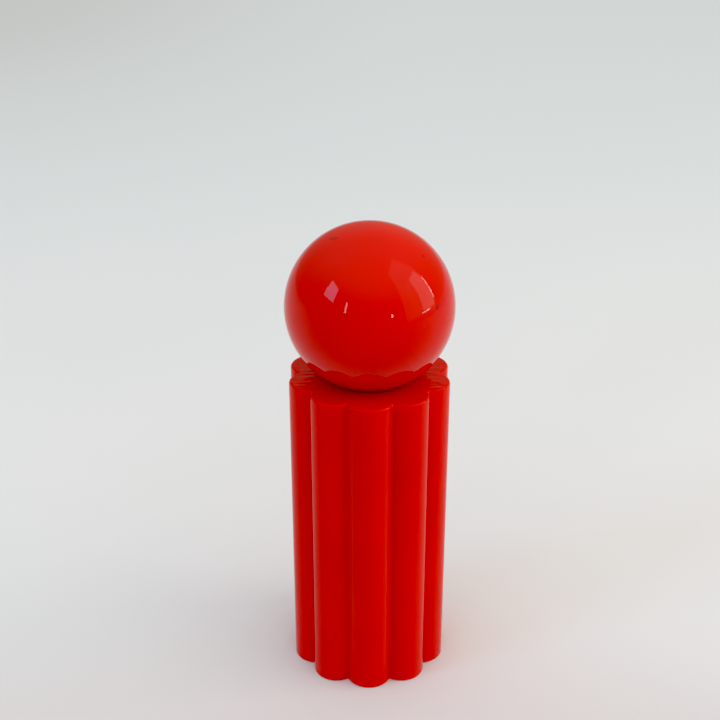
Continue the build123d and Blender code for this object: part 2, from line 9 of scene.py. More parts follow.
import bmesh
import bpy
import numpy as np
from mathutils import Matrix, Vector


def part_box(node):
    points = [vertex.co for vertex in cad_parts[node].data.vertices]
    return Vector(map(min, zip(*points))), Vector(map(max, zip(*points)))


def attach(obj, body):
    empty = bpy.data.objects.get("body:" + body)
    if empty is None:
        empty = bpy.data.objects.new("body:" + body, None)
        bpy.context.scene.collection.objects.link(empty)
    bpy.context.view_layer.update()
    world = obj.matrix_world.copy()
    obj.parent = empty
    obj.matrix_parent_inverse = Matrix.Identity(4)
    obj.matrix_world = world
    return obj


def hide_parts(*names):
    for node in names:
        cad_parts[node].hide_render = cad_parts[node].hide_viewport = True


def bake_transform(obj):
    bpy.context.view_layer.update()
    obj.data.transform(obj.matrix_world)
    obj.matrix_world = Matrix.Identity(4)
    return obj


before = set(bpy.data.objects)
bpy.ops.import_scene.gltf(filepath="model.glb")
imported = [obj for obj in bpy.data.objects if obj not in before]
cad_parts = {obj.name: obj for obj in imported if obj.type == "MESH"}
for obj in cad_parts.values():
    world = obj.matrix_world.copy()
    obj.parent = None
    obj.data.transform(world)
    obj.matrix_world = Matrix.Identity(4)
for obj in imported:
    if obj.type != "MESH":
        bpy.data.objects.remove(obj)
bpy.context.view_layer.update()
MM = 0.001

# ------------------------------------------------------------------ camera
# A hand-held camera a little over the mill's height, looking down at it from arm's length.
camera = bpy.data.objects.new("camera", bpy.data.cameras.new("camera"))
camera.data.sensor_width = 36.0
camera.data.lens = 63.5
camera.data.clip_start = 0.01
camera.location = (-0.0032, -0.385, 0.3055)
camera.rotation_euler = (radians(90 - 26.06), 0, 0)
bpy.context.scene.collection.objects.link(camera)
bpy.context.scene.camera = camera


# ------------------------------------------------------------------ fluted body
# The column is one piece of beech, routed with ten lobes and bored from below. Outside it is sprayed
# with red satin-gloss lacquer, which runs just over the mouth's chamfer; the bores are bare wood.
def skin(name, *grids, ring=False, crease=40.0):
    """One mesh over one or more closed grids of points.

    Each quad joins two neighbouring points of one row to the same two of the next. Columns close
    round the axis, rows close as well where ring is set, and a row whose points coincide is welded
    into a pole. Edges that fold by more than crease degrees are shaded sharp.
    """
    quads, first = [], 0
    for grid in grids:
        rows, columns = grid.shape[:2]
        index = first + np.arange(rows * columns).reshape(rows, columns)
        low = index if ring else index[:-1]
        high = np.roll(index, -1, axis=0) if ring else index[1:]
        square = [low, np.roll(low, -1, axis=1), np.roll(high, -1, axis=1), high]
        quads.append(np.stack(square, axis=-1).reshape(-1, 4))
        first += rows * columns
    points = np.concatenate([grid.reshape(-1, 3) for grid in grids])
    mesh = bpy.data.meshes.new(name)
    mesh.from_pydata(points.tolist(), [], np.concatenate(quads).tolist())
    weld = bmesh.new()
    weld.from_mesh(mesh)
    bmesh.ops.remove_doubles(weld, verts=weld.verts, dist=1e-7)
    bmesh.ops.recalc_face_normals(weld, faces=weld.faces)
    weld.to_mesh(mesh)
    weld.free()
    mesh.shade_smooth()
    mesh.set_sharp_from_angle(angle=radians(crease))
    piece = bpy.data.objects.new(name, mesh)
    bpy.context.scene.collection.objects.link(piece)
    return piece


def arc(centre, radius, start, end, steps):
    """Points on a circle in the profile's plane, from one angle in degrees to another."""
    angle = np.radians(np.linspace(start, end, steps))
    return np.stack([centre[0] + radius * np.cos(angle), centre[1] + radius * np.sin(angle)], axis=1)


def line(start, end, steps):
    """Evenly spaced points from one profile point up to, but not including, the next."""
    step = np.linspace(0, 1, steps, endpoint=False)[:, None]
    return np.asarray(start) * (1 - step) + np.asarray(end) * step


BODY_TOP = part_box("body")[1][2]
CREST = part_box("body")[1][1]
LOBES = 10
LOBE_ROUND = 8.1 * MM
VALLEY_ROUND = 0.4 * MM
TOP_ROUND = 1.0 * MM
BASE_ROUND = 0.6 * MM
MOUTH_BORE = 13.0 * MM
CHAMBER_BORE = 16.25 * MM
FOOT_BORE = 21.8 * MM
BORE_CHAMFER = 0.7 * MM


def fluted_outline(lobe_steps, valley_steps):
    """Points and outward normals round the column, one row of x, y for each.

    A lobe is an arc of LOBE_ROUND about a centre on the crest circle. A valley is a hollow arc of
    VALLEY_ROUND that touches both neighbouring lobes: its centre lies on the valley's direction, one
    lobe radius plus one valley radius from each lobe's centre.
    """
    half = pi / LOBES
    centre = CREST - LOBE_ROUND
    reach = LOBE_ROUND + VALLEY_ROUND
    hollow = centre * cos(half) + sqrt(reach**2 - (centre * sin(half)) ** 2)
    hollow_at = np.array([hollow * cos(half), hollow * sin(half)])
    lean = np.arctan2(hollow_at[1], hollow_at[0] - centre)
    on_lobe = np.linspace(-lean, lean, lobe_steps, endpoint=False)
    across = hollow_at[0] - centre, hollow_at[1]
    start = np.arctan2(-across[1], -across[0])
    turn = 2 * (pi - (start % (2 * pi)) + half) % (2 * pi)
    turn = turn - 2 * pi if turn > pi else turn
    in_valley = start + np.linspace(0, turn, valley_steps, endpoint=False)
    lobe_normal = np.stack([np.cos(on_lobe), np.sin(on_lobe)], axis=1)
    lobe_point = LOBE_ROUND * lobe_normal + [centre, 0]
    valley_normal = -np.stack([np.cos(in_valley), np.sin(in_valley)], axis=1)
    valley_point = hollow_at - VALLEY_ROUND * valley_normal
    point = np.concatenate([lobe_point, valley_point])
    normal = np.concatenate([lobe_normal, valley_normal])
    angle = 2 * half * np.arange(LOBES) - pi / 2
    turned = np.array([[np.cos(angle), -np.sin(angle)], [np.sin(angle), np.cos(angle)]])
    return [np.einsum("abk,nb->kna", turned, xy).reshape(-1, 2) for xy in (point, normal)]


def body_grid():
    """Rows of points from the foot's chamfer, out and up the flutes, over the rim and down the bores.

    Outside, a row is the fluted outline moved inwards along its normals by the edge's rounding.
    On the end faces it blends in a straight line from the outline to a circle, and inside it is a
    circle.
    """
    point, normal = fluted_outline(36, 12)
    heading = point / np.linalg.norm(point, axis=1)[:, None]

    def outside(inset, height):
        return np.column_stack([point - normal * inset, np.full(len(point), height)])

    def inside(radius, height):
        return np.column_stack([heading * radius, np.full(len(point), height)])

    rows = []
    foot_edge = inside(FOOT_BORE + BORE_CHAMFER, 0)
    base_edge = outside(BASE_ROUND, 0)
    for blend in np.linspace(0, 1, 5)[:-1]:
        rows.append(foot_edge * (1 - blend) + base_edge * blend)
    for angle in np.linspace(0, pi / 2, 9):
        rows.append(outside(BASE_ROUND * (1 - sin(angle)), BASE_ROUND * (1 - cos(angle))))
    for height in np.linspace(BASE_ROUND, BODY_TOP - TOP_ROUND, 26)[1:-1]:
        rows.append(outside(0, height))
    for angle in np.linspace(0, pi / 2, 13):
        rows.append(outside(TOP_ROUND * (1 - cos(angle)), BODY_TOP - TOP_ROUND * (1 - sin(angle))))
    mouth_edge = inside(MOUTH_BORE + BORE_CHAMFER, BODY_TOP)
    rim_edge = rows[-1]
    for blend in np.linspace(0, 1, 9)[1:]:
        rows.append(rim_edge * (1 - blend) + mouth_edge * blend)
    bores = [
        (MOUTH_BORE, BODY_TOP - BORE_CHAMFER), (MOUTH_BORE, BODY_TOP - 12 * MM),
        (CHAMBER_BORE, BODY_TOP - 15 * MM), (CHAMBER_BORE, 7.5 * MM), (FOOT_BORE, 7.5 * MM),
        (FOOT_BORE, BORE_CHAMFER),
    ]
    start = (MOUTH_BORE + BORE_CHAMFER, BODY_TOP)
    for end in bores:
        for radius, height in np.append(line(start, end, 4)[1:], [end], axis=0):
            rows.append(inside(radius, height))
        start = end
    return np.array(rows)


body = skin("fluted_body", body_grid(), ring=True)
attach(body, "body")
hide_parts("body")


def add(tree, kind, inputs=None, **settings):
    """One shader node. settings are its own properties; inputs are values, or sockets to link."""
    made = tree.nodes.new("ShaderNode" + kind)
    for name, value in settings.items():
        setattr(made, name, value)
    for name, value in (inputs or {}).items():
        if isinstance(value, bpy.types.NodeSocket):
            tree.links.new(value, made.inputs[name])
        else:
            made.inputs[name].default_value = value
    return made


def calc(tree, operation, *terms):
    """Output of a Math node on two or three numbers or sockets."""
    return add(tree, "Math", dict(enumerate(terms)), operation=operation).outputs[0]


def ramp(tree, value, low, high, to_low=0.0, to_high=1.0):
    """Smooth step of value between two levels, clamped."""
    inputs = {"Value": value, "From Min": low, "From Max": high, "To Min": to_low, "To Max": to_high}
    return add(tree, "MapRange", inputs, interpolation_type="SMOOTHSTEP").outputs["Result"]


def blend_colour(tree, factor, first, second, how="MIX"):
    """Output of a colour Mix node."""
    made = add(tree, "Mix", {0: factor, 6: first, 7: second}, data_type="RGBA", blend_type=how)
    return made.outputs[2]


def new_group(name, inputs, outputs):
    """Empty shader node group with its sockets; returns the tree, its inputs and its output node."""
    tree = bpy.data.node_groups.new(name, "ShaderNodeTree")
    for label, (kind, value) in inputs.items():
        tree.interface.new_socket(label, in_out="INPUT", socket_type=kind).default_value = value
    for label, kind in outputs.items():
        tree.interface.new_socket(label, in_out="OUTPUT", socket_type=kind)
    given = tree.nodes.new("NodeGroupInput").outputs
    result = tree.nodes.new("NodeGroupOutput")
    return tree, given, result


def new_material(name):
    """Material with an empty tree, its Principled BSDF and Object coordinates."""
    made = bpy.data.materials.new(name)
    made.use_nodes = True
    tree = made.node_tree
    tree.nodes.clear()
    shader = add(tree, "BsdfPrincipled")
    add(tree, "OutputMaterial", {"Surface": shader.outputs[0]})
    return made, tree, shader, add(tree, "TexCoord").outputs["Object"]


FLOAT, COLOUR, VECTOR = "NodeSocketFloat", "NodeSocketColor", "NodeSocketVector"

# Beech under and beside the lacquer: straight fine grain along Z with short dark flecks.
beech, given, result = new_group(
    "beech_grain",
    {"Place": (VECTOR, (0, 0, 0)), "Light": (COLOUR, (0.56, 0.36, 0.19, 1)),
     "Dark": (COLOUR, (0.33, 0.18, 0.085, 1))},
    {"Colour": COLOUR, "Height": FLOAT},
)
along = add(beech, "Mapping", {"Vector": given["Place"], "Scale": (1, 1, 0.035)}).outputs[0]
band = add(beech, "TexNoise", {"Vector": along, "Scale": 260, "Detail": 5, "Roughness": 0.6})
pore = add(beech, "Mapping", {"Vector": given["Place"], "Scale": (1, 1, 0.16)}).outputs[0]
fleck = add(beech, "TexNoise", {"Vector": pore, "Scale": 2600, "Detail": 2})
fleck_mask = ramp(beech, fleck.outputs[0], 0.58, 0.70)
grain = ramp(beech, band.outputs[0], 0.35, 0.68)
tone = blend_colour(beech, grain, given["Light"], given["Dark"])
tone = blend_colour(beech, calc(beech, "MULTIPLY", fleck_mask, 0.55), tone, given["Dark"])
beech.links.new(tone, result.inputs["Colour"])
height = calc(beech, "SUBTRACT", calc(beech, "MULTIPLY", grain, 0.4), fleck_mask)
beech.links.new(height, result.inputs["Height"])

# Sprayed lacquer film: a soft orange-peel swell, a finer one, and a few specks caught under it.
film, given, result = new_group(
    "lacquer_film",
    {"Place": (VECTOR, (0, 0, 0)), "Swell": (FLOAT, 1.0), "Specks": (FLOAT, 1.0)},
    {"Height": FLOAT, "Speck": FLOAT, "Patch": FLOAT},
)
swell = add(film, "TexNoise", {"Vector": given["Place"], "Scale": 95, "Detail": 1.5})
peel = add(film, "TexNoise", {"Vector": given["Place"], "Scale": 620, "Detail": 2})
spot = add(film, "TexVoronoi", {"Vector": given["Place"], "Scale": 130, "Randomness": 1.0})
keep = add(film, "TexWhiteNoise", {"Vector": spot.outputs["Position"]})
chosen = calc(film, "GREATER_THAN", keep.outputs[0], 0.965)
near = ramp(film, spot.outputs["Distance"], 0.035, 0.012)
speck = calc(film, "MULTIPLY", calc(film, "MULTIPLY", chosen, near), given["Specks"])
patch = add(film, "TexNoise", {"Vector": given["Place"], "Scale": 38, "Detail": 3})
rolled = calc(film, "MULTIPLY_ADD", swell.outputs[0], 3.0, peel.outputs[0])
rolled = calc(film, "MULTIPLY", rolled, given["Swell"])
film.links.new(calc(film, "ADD", rolled, speck), result.inputs["Height"])
film.links.new(speck, result.inputs["Speck"])
film.links.new(ramp(film, patch.outputs[0], 0.35, 0.65), result.inputs["Patch"])

RED = (0.635, 0.0085, 0.0008, 1)
DEEP_RED = (0.605, 0.0075, 0.0006, 1)
SCUFFED_RED = (0.30, 0.02, 0.012, 1)
BARE_ROUGHNESS = 0.75
SATIN_ROUGHNESS, SATIN_IOR = 0.12, 1.26
GLOSS_ROUGHNESS, GLOSS_IOR = 0.015, 1.32
FILM_THICKNESS = 0.05 * MM


def group(tree, source, **inputs):
    """A node group placed in a material, with its inputs."""
    made = tree.nodes.new("ShaderNodeGroup")
    made.node_tree = source
    for name, value in inputs.items():
        if isinstance(value, bpy.types.NodeSocket):
            tree.links.new(value, made.inputs[name])
        else:
            made.inputs[name].default_value = value
    return made.outputs


def from_axis(tree, place):
    """Distance of each point from the mill's axis, and its height."""
    axis = add(tree, "SeparateXYZ", {0: place}).outputs
    flat = add(tree, "CombineXYZ", {0: axis[0], 1: axis[1]}).outputs[0]
    return add(tree, "VectorMath", {0: flat}, operation="LENGTH").outputs["Value"], axis[2]


def relief(tree, shader, height, strength, distance):
    """Bump whose full height is distance, on the shader's normal."""
    made = add(tree, "Bump", {"Height": height, "Strength": strength, "Distance": distance})
    tree.links.new(made.outputs[0], shader.inputs["Normal"])


body_paint, tree, shader, place = new_material("satin_red_lacquer")
film_out = group(tree, film, Place=place, Swell=1.0, Specks=0.6)
wood_out = group(tree, beech, Place=place)
radius, height = from_axis(tree, place)
ragged = add(tree, "TexNoise", {"Vector": place, "Scale": 700, "Detail": 2}).outputs[0]
height_at = calc(tree, "MULTIPLY_ADD", ragged, 0.5 * MM, height)
in_bore = ramp(tree, radius, FOOT_BORE + 1.4 * MM, FOOT_BORE + 1.1 * MM)
below_mouth = ramp(tree, height_at, BODY_TOP - 0.25 * MM, BODY_TOP - 0.5 * MM)
bare = calc(tree, "MULTIPLY", in_bore, below_mouth)
red = blend_colour(tree, film_out["Patch"], RED, DEEP_RED)

# The rim it stands on is scuffed: a darker, duller ring that breaks up upwards.
scuff = add(tree, "TexNoise", {"Vector": place, "Scale": 900, "Detail": 4}).outputs[0]
low_down = ramp(tree, height, 0.9 * MM, 0.0)
worn = ramp(tree, calc(tree, "MULTIPLY", low_down, scuff), 0.34, 0.46)
red = blend_colour(tree, calc(tree, "MULTIPLY", worn, 0.55), red, SCUFFED_RED)
tree.links.new(blend_colour(tree, bare, red, wood_out["Colour"]), shader.inputs["Base Color"])

# End grain swells under the lacquer of the top face: waves across the mill, broken by a noise and
# strongest out at the left and right lobes. Heights are in film thicknesses.
MIDDLE_RIPPLE, SIDE_RIPPLE = 1.0, 8.0
FILM_SHARE, GRAIN_SHARE = 0.12, 0.2
on_top = ramp(tree, height, BODY_TOP - 0.9 * MM, BODY_TOP - 0.2 * MM)
sideways = calc(tree, "ABSOLUTE", add(tree, "SeparateXYZ", {0: place}).outputs[0])
on_top = calc(tree, "MULTIPLY", on_top, ramp(tree, sideways, 12 * MM, 21 * MM, MIDDLE_RIPPLE, SIDE_RIPPLE))
wavy = add(tree, "Mapping", {"Vector": place, "Scale": (0.42, 1, 1)}).outputs[0]
waves = add(tree, "TexNoise", {"Vector": wavy, "Scale": 560, "Detail": 2.5, "Distortion": 0.3})
ripple = calc(tree, "MULTIPLY", waves.outputs[0], on_top)
wood_step = calc(tree, "MULTIPLY", calc(tree, "MULTIPLY", wood_out["Height"], bare), GRAIN_SHARE)
height = calc(tree, "MULTIPLY_ADD", film_out["Height"], FILM_SHARE, calc(tree, "ADD", ripple, wood_step))
relief(tree, shader, height, 1.0, FILM_THICKNESS)
dull = calc(tree, "MAXIMUM", bare, calc(tree, "MULTIPLY", worn, 0.5))
rough = add(tree, "Mix", {0: dull, 2: SATIN_ROUGHNESS, 3: BARE_ROUGHNESS}).outputs[0]
tree.links.new(rough, shader.inputs["Roughness"])
shader.inputs["IOR"].default_value = SATIN_IOR
body.data.materials.append(body_paint)

# ------------------------------------------------------------------ ball head
# A turned beech ball with a flat and a tenon under it. The ball is sprayed and polished to a high
# gloss; the tenon, which turns in the body's mouth, and the socket's bore stay bare.
BALL = (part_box("ball_head")[1][0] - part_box("ball_head")[0][0]) / 2
BALL_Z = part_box("ball_head")[1][2] - BALL
SEAT = BODY_TOP + 0.4 * MM
TENON_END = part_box("ball_head")[0][2]


def turned(name, profile, steps, **finish):
    """Surface of revolution: each profile point, a radius and a height, is carried round the axis."""
    angle = np.linspace(0, 2 * pi, steps, endpoint=False)
    radius, height = np.asarray(profile).T
    grid = np.stack(
        [np.outer(radius, np.cos(angle)), np.outer(radius, np.sin(angle)),
         np.repeat(height[:, None], steps, axis=1)], axis=-1)
    return skin(name, grid, **finish)


flat_drop = BALL_Z - SEAT
edge = 0.5 * MM
edge_centre = sqrt((BALL - edge) ** 2 - (flat_drop - edge) ** 2)
edge_lean = np.degrees(np.arctan2(flat_drop - edge, edge_centre))
tenon = 12.7 * MM
bore = 8.0 * MM
ball_profile = np.concatenate([
    arc((0, BALL_Z), BALL, 90, -edge_lean, 150)[:-1],
    arc((edge_centre, SEAT + edge), edge, -edge_lean, -90, 9),
    [(tenon, SEAT)],
    line((tenon, SEAT - 0.3 * MM), (tenon, TENON_END + 0.8 * MM), 6),
    [(tenon, TENON_END + 0.8 * MM), (tenon - 0.8 * MM, TENON_END), (bore, TENON_END)],
    line((bore, TENON_END + 0.3 * MM), (bore, TENON_END + 26 * MM), 8),
    [(bore, TENON_END + 26 * MM), (0, TENON_END + 29 * MM)],
])
ball_profile[0, 0] = 0
ball = turned("ball_head_turned", ball_profile, 256)
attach(ball, "head")
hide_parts("ball_head")

ball_paint, tree, shader, place = new_material("gloss_red_lacquer")
film_out = group(tree, film, Place=place, Swell=0.35, Specks=0.5)
wood_out = group(tree, beech, Place=place)
radius, height = from_axis(tree, place)
on_tenon = ramp(tree, radius, tenon + 0.4 * MM, tenon + 0.2 * MM)
bare = calc(tree, "MULTIPLY", on_tenon, ramp(tree, height, BALL_Z, BALL_Z - 1 * MM))
red = blend_colour(tree, film_out["Patch"], RED, DEEP_RED)

# Nibs of dust that dried into the gloss coat, three of them in one streak: where they lie, seen
# from the ball's middle.
nib_mask = 0.0
for turn, rise, size in (
    (-163, 62.8, 0.8), (-159, 64, 0.9), (-155, 65.2, 0.8), (-27, 48, 0.8), (-40, 15, 1.1), (-53, 15.5, 0.9),
):
    heading = np.array([cos(radians(turn)) * cos(radians(rise)), sin(radians(turn)) * cos(radians(rise)),
                        sin(radians(rise))])
    spot = heading * BALL + [0, 0, BALL_Z]
    away = add(tree, "VectorMath", {0: place, 1: spot}, operation="DISTANCE").outputs["Value"]
    nib_mask = calc(tree, "MAXIMUM", nib_mask, ramp(tree, away, size * MM, 0.4 * size * MM))
red = blend_colour(tree, calc(tree, "MULTIPLY", nib_mask, 0.7), red, (0.30, 0.0012, 0.0006, 1))
tree.links.new(blend_colour(tree, bare, red, wood_out["Colour"]), shader.inputs["Base Color"])
height = calc(tree, "MULTIPLY_ADD", nib_mask, 2.0, film_out["Height"])
relief(tree, shader, height, 0.05, FILM_THICKNESS)
rough = add(tree, "Mix", {0: bare, 2: GLOSS_ROUGHNESS, 3: BARE_ROUGHNESS}).outputs[0]
tree.links.new(rough, shader.inputs["Roughness"])
shader.inputs["IOR"].default_value = GLOSS_IOR
ball.data.materials.append(ball_paint)

# ------------------------------------------------------------------ drive socket, bush and thrust washer
# Off-white acetal, injection moulded: the insert pressed into the tenon, the sleeve the shaft turns
# in, and the washer between cone and knob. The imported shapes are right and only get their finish.
skin_tone, given, result = new_group(
    "moulded_skin",
    {"Place": (VECTOR, (0, 0, 0)), "Tint": (COLOUR, (0.8, 0.8, 0.8, 1)),
     "Shade": (COLOUR, (0.6, 0.6, 0.6, 1)), "Texture": (FLOAT, 5000.0), "Shine": (FLOAT, 0.4)},
    {"Colour": COLOUR, "Roughness": FLOAT, "Height": FLOAT},
)
spark = add(skin_tone, "TexNoise", {"Vector": given["Place"], "Scale": given["Texture"], "Detail": 2})
swirl = add(skin_tone, "Mapping", {"Vector": given["Place"], "Scale": (1, 1, 0.4)}).outputs[0]
flow = add(skin_tone, "TexNoise", {"Vector": swirl, "Scale": 170, "Detail": 3, "Distortion": 0.6})
scratch = add(skin_tone, "TexNoise", {"Vector": given["Place"], "Scale": 900, "Detail": 5})
tone = blend_colour(skin_tone, ramp(skin_tone, flow.outputs[0], 0.32, 0.68), given["Tint"], given["Shade"])
skin_tone.links.new(tone, result.inputs["Colour"])
matt = calc(skin_tone, "MULTIPLY_ADD", ramp(skin_tone, scratch.outputs[0], 0.35, 0.7), 0.18, given["Shine"])
skin_tone.links.new(matt, result.inputs["Roughness"])
skin_tone.links.new(calc(skin_tone, "ADD", spark.outputs[0], scratch.outputs[0]), result.inputs["Height"])

# Fine pale or dark powder that has settled in patches, with coarser grains among it.
dust, given, result = new_group(
    "spice_dust", {"Place": (VECTOR, (0, 0, 0)), "Amount": (FLOAT, 0.5)}, {"Mask": FLOAT, "Grains": FLOAT},
)
drift = add(dust, "TexNoise", {"Vector": given["Place"], "Scale": 210, "Detail": 4}).outputs[0]
grit = add(dust, "TexVoronoi", {"Vector": given["Place"], "Scale": 1500, "Randomness": 1.0})
grit_kept = add(dust, "TexWhiteNoise", {"Vector": grit.outputs["Position"]}).outputs[0]
grit_mask = calc(dust, "MULTIPLY", ramp(dust, grit.outputs["Distance"], 0.42, 0.25),
                 calc(dust, "LESS_THAN", grit_kept, calc(dust, "MULTIPLY", given["Amount"], 0.45)))
powder = calc(dust, "MULTIPLY", ramp(dust, drift, 0.45, 0.72), given["Amount"])
dust.links.new(calc(dust, "MAXIMUM", powder, grit_mask), result.inputs["Mask"])
dust.links.new(grit_mask, result.inputs["Grains"])

SPICE = (0.21, 0.145, 0.085, 1)


def moulding(name, tint, shade, texture, shine, dusty):
    """Moulded plastic with some spice dust on it."""
    made, tree, shader, place = new_material(name)
    surface = group(tree, skin_tone, Place=place, Tint=tint, Shade=shade, Texture=texture, Shine=shine)
    settled = group(tree, dust, Place=place, Amount=dusty)
    colour = blend_colour(tree, settled["Mask"], surface["Colour"], SPICE)
    tree.links.new(colour, shader.inputs["Base Color"])
    tree.links.new(calc(tree, "MAXIMUM", surface["Roughness"], settled["Mask"]), shader.inputs["Roughness"])
    height = calc(tree, "MULTIPLY_ADD", settled["Grains"], 4.0, surface["Height"])
    relief(tree, shader, height, 0.35, 0.03 * MM)
    shader.inputs["IOR"].default_value = 1.48
    return made


def finish_node(material, *nodes):
    """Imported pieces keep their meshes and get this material."""
    for node in nodes:
        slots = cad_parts[node].data.materials
        slots.clear()
        slots.append(material)


acetal = moulding("off_white_acetal", (0.80, 0.775, 0.70, 1), (0.74, 0.71, 0.63, 1), 3800, 0.32, 0.25)
finish_node(acetal, "drive_socket", "guide_bush", "thrust_washer")

# ------------------------------------------------------------------ housing, guide and cone hub
# Black glass-filled nylon with a fine eroded texture: the cup screwed into the foot, the four-armed
# guide that snaps into it over the ring, and the core that carries the cone. Dust clings to them.
nylon = moulding("black_nylon", (0.050, 0.050, 0.053, 1), (0.036, 0.036, 0.039, 1), 5200, 0.46, 0.16)
finish_node(nylon, "grinder_housing", "shaft_guide", "cone_hub")

# ------------------------------------------------------------------ clips and spring washer
# Bright stainless spring steel, rolled and stamped: the hairpin that grips the shaft, two C clips in
# the shaft's grooves, and the washer over the spring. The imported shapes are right.
lines, given, result = new_group(
    "metal_lines",
    {"Place": (VECTOR, (0, 0, 0)), "Stretch": (VECTOR, (4000, 4000, 60)),
     "Bright": (COLOUR, (0.6, 0.6, 0.6, 1)), "Tarnish": (COLOUR, (0.4, 0.4, 0.4, 1)), "Shine": (FLOAT, 0.25)},
    {"Colour": COLOUR, "Roughness": FLOAT, "Height": FLOAT},
)
drawn = add(lines, "VectorMath", {0: given["Place"], 1: given["Stretch"]}, operation="MULTIPLY").outputs[0]
streak = add(lines, "TexNoise", {"Vector": drawn, "Scale": 1.0, "Detail": 4}).outputs[0]
cloud = add(lines, "TexNoise", {"Vector": given["Place"], "Scale": 240, "Detail": 4}).outputs[0]
dim = calc(lines, "MULTIPLY_ADD", ramp(lines, cloud, 0.4, 0.75), 0.6,
           calc(lines, "MULTIPLY", ramp(lines, streak, 0.35, 0.75), 0.4))
lines.links.new(blend_colour(lines, dim, given["Bright"], given["Tarnish"]), result.inputs["Colour"])
lines.links.new(calc(lines, "MULTIPLY_ADD", dim, 0.16, given["Shine"]), result.inputs["Roughness"])
lines.links.new(streak, result.inputs["Height"])


def metal(name, stretch, bright, tarnish, shine, turned_lines=False):
    """Bare or plated metal with drawn lines, or with turned lines that run round the axis."""
    made, tree, shader, place = new_material(name)
    if turned_lines:
        radius, height = from_axis(tree, place)
        place = add(tree, "CombineXYZ", {0: radius, 1: height}).outputs[0]
    surface = group(tree, lines, Place=place, Stretch=stretch, Bright=bright, Tarnish=tarnish, Shine=shine)
    tree.links.new(surface["Colour"], shader.inputs["Base Color"])
    tree.links.new(surface["Roughness"], shader.inputs["Roughness"])
    relief(tree, shader, surface["Height"], 0.25, 0.01 * MM)
    shader.inputs["Metallic"].default_value = 1.0
    return made


steel = metal("spring_steel", (300, 5200, 5200), (0.60, 0.60, 0.61, 1), (0.42, 0.41, 0.41, 1), 0.20)
finish_node(steel, "socket_clip", "shaft_clip", "shaft_end_clip", "spring_washer")

# ------------------------------------------------------------------ cone spring
# Stainless wire coiled to four and a half turns, its end coils closed up and ground flat. Its lower
# end stands in the cone and its upper end on the washer; the coil is built at one fixed length.
WIRE = 0.4 * MM
COIL = (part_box("cone_spring")[1][1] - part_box("cone_spring")[0][1]) / 2 - WIRE
SPRING_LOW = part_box("cone_spring")[0][2]
SPRING_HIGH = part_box("cone_spring")[1][2]


def spring_grid(turns, steps, sides):
    """Rows of wire sections along a helix, from one end's middle to the other's.

    The wire's middle rises by the share of the length gone, less seven tenths of a sine over 2 pi,
    which closes up the end coils. Sections lie across the helix, and the ends are cut level.
    """
    share = np.linspace(0, 1, steps)
    angle = 2 * pi * turns * share
    low = SPRING_LOW + WIRE
    high = SPRING_HIGH - WIRE
    rise = low + (high - low) * (share - 0.7 * np.sin(2 * pi * share) / (2 * pi))
    out = np.stack([np.cos(angle), np.sin(angle), np.zeros(steps)], axis=1)
    up = np.array([0.0, 0.0, 1.0])
    middle = COIL * out + rise[:, None] * up
    turn = np.linspace(0, 2 * pi, sides, endpoint=False)
    across = WIRE * (np.cos(turn)[None, :, None] * out[:, None, :] + np.sin(turn)[None, :, None] * up)
    grid = middle[:, None, :] + across
    ends = np.broadcast_to(middle[[0, -1], None, :], (2, sides, 3))
    grid = np.concatenate([ends[:1], grid, ends[1:]])
    grid[..., 2] = np.clip(grid[..., 2], SPRING_LOW + 0.02 * MM, SPRING_HIGH - 0.02 * MM)
    return grid


spring = skin("cone_spring_coil", spring_grid(4.5, 320, 18), crease=60)
spring.data.materials.append(steel)
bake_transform(spring)
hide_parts("cone_spring")

# ------------------------------------------------------------------ drive shaft
# A 6 mm square bar of drawn aluminium with bevelled corners and tip. Its foot is turned down and
# threaded M5 for the adjuster, and two grooves hold its clips.
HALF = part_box("shaft")[1][0]
SHAFT_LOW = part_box("shaft")[0][2]
SHAFT_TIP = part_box("shaft")[1][2]
SHAFT_CORNER = 0.5 * MM
THREAD = (2.5 * MM, 2.1 * MM, 0.8 * MM)  # crest radius, root radius, pitch


def ridge(height, angle, pitch, width):
    """A helical ridge's height, 0 to 1: it peaks where height over pitch less turns is a whole and a half."""
    phase = (height / pitch - angle / (2 * pi)) % 1.0
    return np.clip(1 - np.abs(phase - 0.5) / width, 0, 1)


